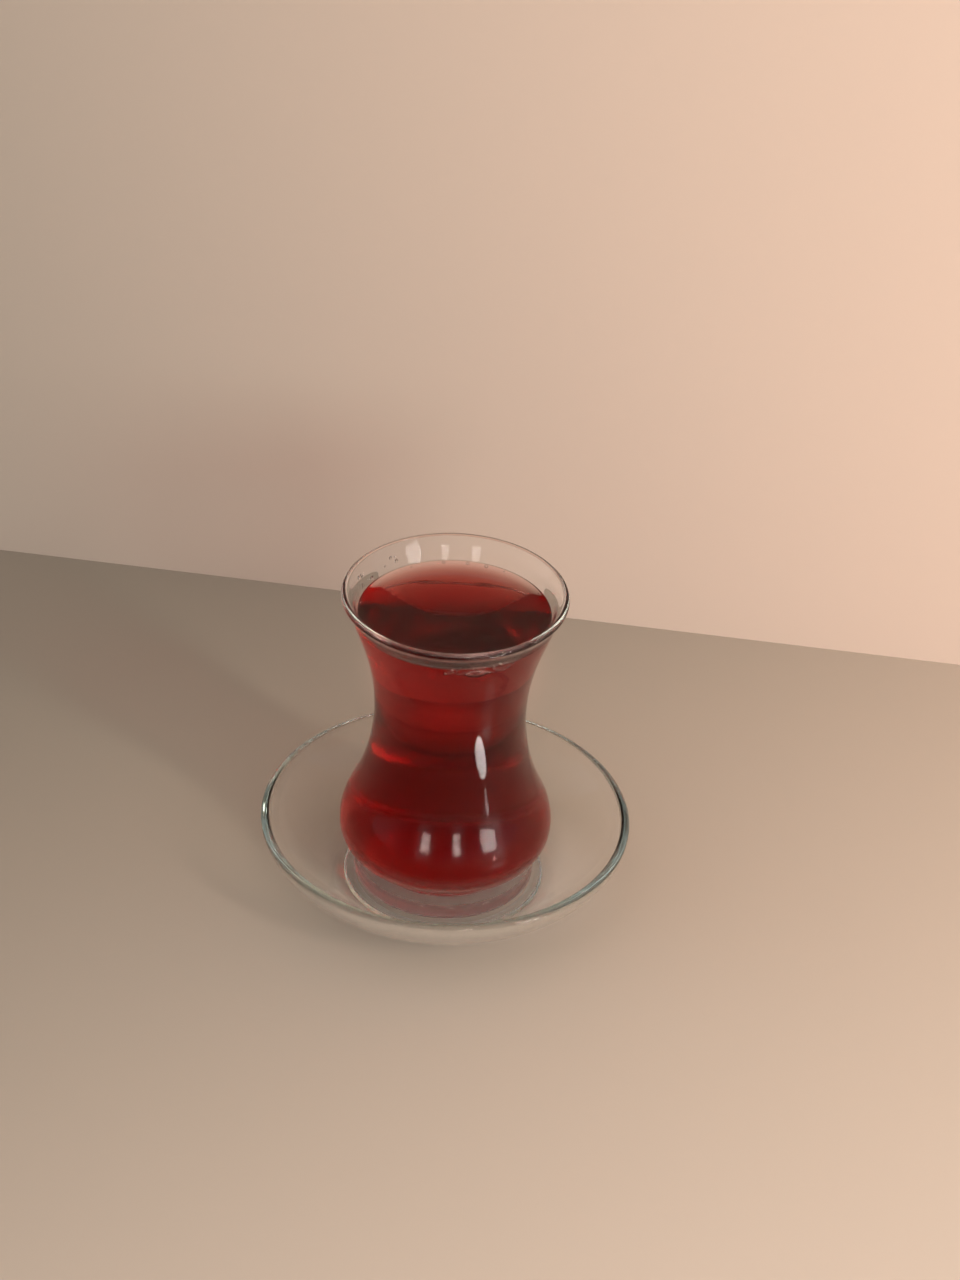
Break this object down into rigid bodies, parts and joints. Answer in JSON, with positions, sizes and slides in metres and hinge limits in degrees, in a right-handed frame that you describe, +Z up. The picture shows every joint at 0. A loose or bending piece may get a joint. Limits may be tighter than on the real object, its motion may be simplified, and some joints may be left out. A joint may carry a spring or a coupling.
{
  "type": "glass of hibiscus tea on a saucer",
  "caption": "Thin-waisted clear tea glass with a foot disc, round belly and flared rim, filled with dark red hibiscus tea and standing in a shallow clear glass saucer.",
  "frame": {"origin": "centre of the saucer's foot ring, in the plane of the table", "axes": "+Z up along the common axis of the saucer and the glass; X and Y are alike because every piece is round"},
  "size_m": [0.1016, 0.1016, 0.0933],
  "materials": {
    "saucer_glass": "clear pressed glass with a faint grey-green cast at its edges, polished",
    "clear_glass": "clear fire-polished glass",
    "hibiscus_tea": "clear dark red liquid with a mirror-smooth surface"
  },
  "bodies": {
    "root": {"saucer": "saucer_glass", "tea_glass": "clear_glass", "tea": "hibiscus_tea"}
  },
  "joints": []
}
